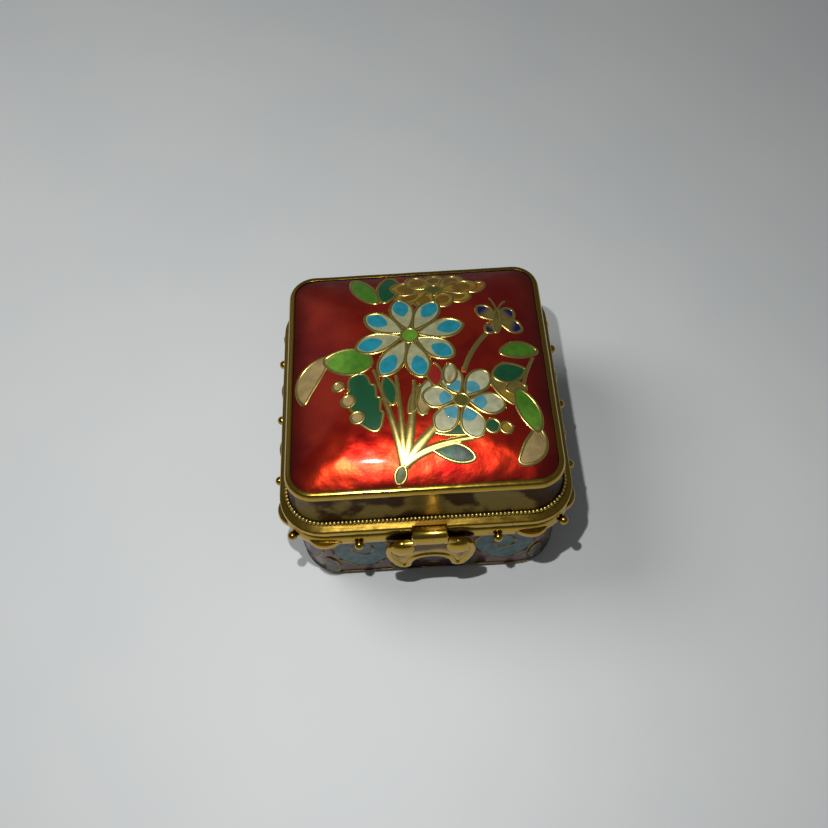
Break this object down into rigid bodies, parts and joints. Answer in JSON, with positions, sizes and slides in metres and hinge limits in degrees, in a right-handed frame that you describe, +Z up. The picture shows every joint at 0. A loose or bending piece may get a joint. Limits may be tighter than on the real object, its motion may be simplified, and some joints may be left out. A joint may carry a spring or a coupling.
{
  "type": "cloisonne enamel box",
  "caption": "Small square trinket box in cloisonne enamel on copper with gilt brass rims, a cushion-domed lid on a rear pin hinge and a lobed front clasp.",
  "frame": {"origin": "centre of the flat underside of the bowl, on the surface it stands on", "axes": "+Z up through the lid, -Y out of the clasp at the front, +Y out of the hinge at the back, +X to the right of a person facing the clasp"},
  "size_m": [0.044, 0.0471, 0.0291],
  "materials": {
    "gilt_brass": "polished gilt brass, a little dulled in the hollows",
    "lid_enamel": "glossy translucent red enamel fired on copper, with inlaid flowers in gilt wire",
    "body_enamel": "glossy turquoise and maroon enamel fired on copper, with gilt wire"
  },
  "bodies": {
    "bowl_body": {"bowl": "body_enamel", "bowl_rim": "gilt_brass", "hinge_bowl_leaf": "gilt_brass", "hinge_pin": "gilt_brass"},
    "lid": {"lid_frame": "gilt_brass", "lid_plaque": "lid_enamel", "hinge_lid_leaf": "gilt_brass", "clasp": "gilt_brass"}
  },
  "joints": [
    {"name": "lid_hinge", "type": "hinge", "parent": "bowl_body", "child": "lid", "pos_m": [-0.0004, 0.0226, 0.0188], "axis": [-1, 0, 0], "range_deg": [0, 105]}
  ]
}
